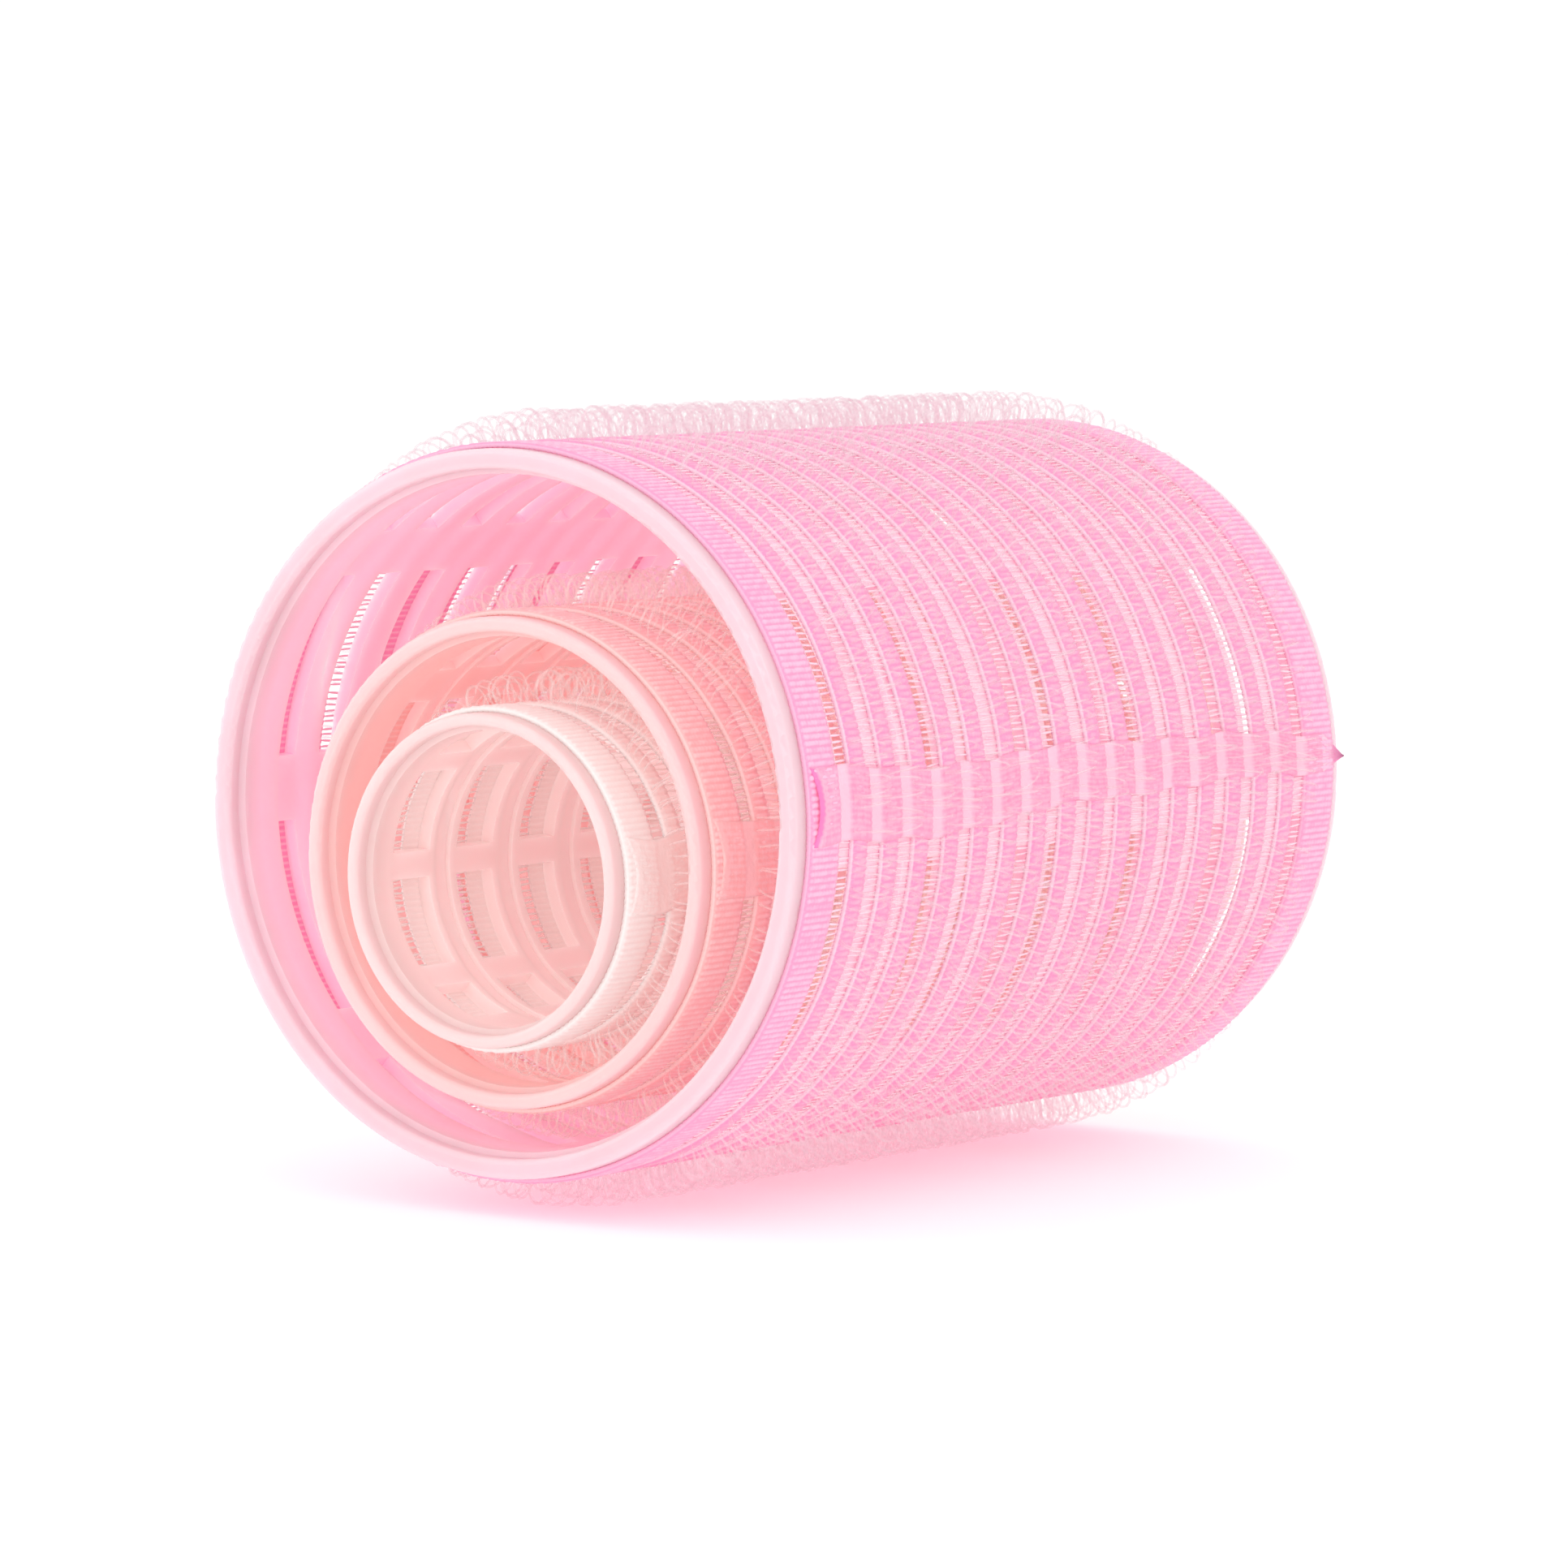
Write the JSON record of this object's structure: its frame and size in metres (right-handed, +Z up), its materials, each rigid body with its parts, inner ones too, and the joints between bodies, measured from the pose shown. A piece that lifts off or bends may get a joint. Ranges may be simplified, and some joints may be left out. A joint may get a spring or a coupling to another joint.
{
  "type": "nested hair roller set",
  "caption": "Nested set of three self-grip hair rollers: slotted plastic tubes with woven hook-tape sleeves, the smaller ones stored inside and pulled out endwise.",
  "frame": {"origin": "on the large roller's axis, halfway along it; the set lies on its hooks, 24 mm below", "axes": "+Y along the rollers' axis towards the rear, +Z up; the inner rollers rest at the bottom of the bore and pull out towards -Y"},
  "size_m": [0.048, 0.0621, 0.048],
  "materials": {
    "large_core": "translucent moulded polypropylene, satin",
    "large_sleeve": "woven nylon, matt, ribbed",
    "large_hooks": "clear nylon monofilament loops",
    "medium_core": "translucent moulded polypropylene, satin",
    "medium_sleeve": "woven nylon, matt, ribbed",
    "medium_hooks": "clear nylon monofilament loops",
    "small_core": "translucent moulded polypropylene, satin",
    "small_sleeve": "woven nylon, matt, ribbed",
    "small_hooks": "clear nylon monofilament loops"
  },
  "bodies": {
    "large_roller": {"large_core": "large_core", "large_ladder_threads": "large_sleeve", "large_woven_bands": "large_sleeve", "large_front_selvedge": "large_sleeve", "large_rear_selvedge": "large_sleeve", "large_weld_seam": "large_sleeve", "large_hook_pile": "large_hooks"},
    "medium_roller": {"medium_core": "medium_core", "medium_ladder_threads": "medium_sleeve", "medium_woven_bands": "medium_sleeve", "medium_front_selvedge": "medium_sleeve", "medium_rear_selvedge": "medium_sleeve", "medium_weld_seam": "medium_sleeve", "medium_hook_pile": "medium_hooks"},
    "small_roller": {"small_core": "small_core", "small_ladder_threads": "small_sleeve", "small_woven_bands": "small_sleeve", "small_front_selvedge": "small_sleeve", "small_rear_selvedge": "small_sleeve", "small_weld_seam": "small_sleeve", "small_hook_pile": "small_hooks"}
  },
  "joints": [
    {"name": "medium_pull_out", "type": "slide", "parent": "large_roller", "child": "medium_roller", "axis": [0, -1, 0], "range_m": [0, 0.065]},
    {"name": "small_pull_out", "type": "slide", "parent": "medium_roller", "child": "small_roller", "axis": [0, -1, 0], "range_m": [0, 0.065]}
  ]
}
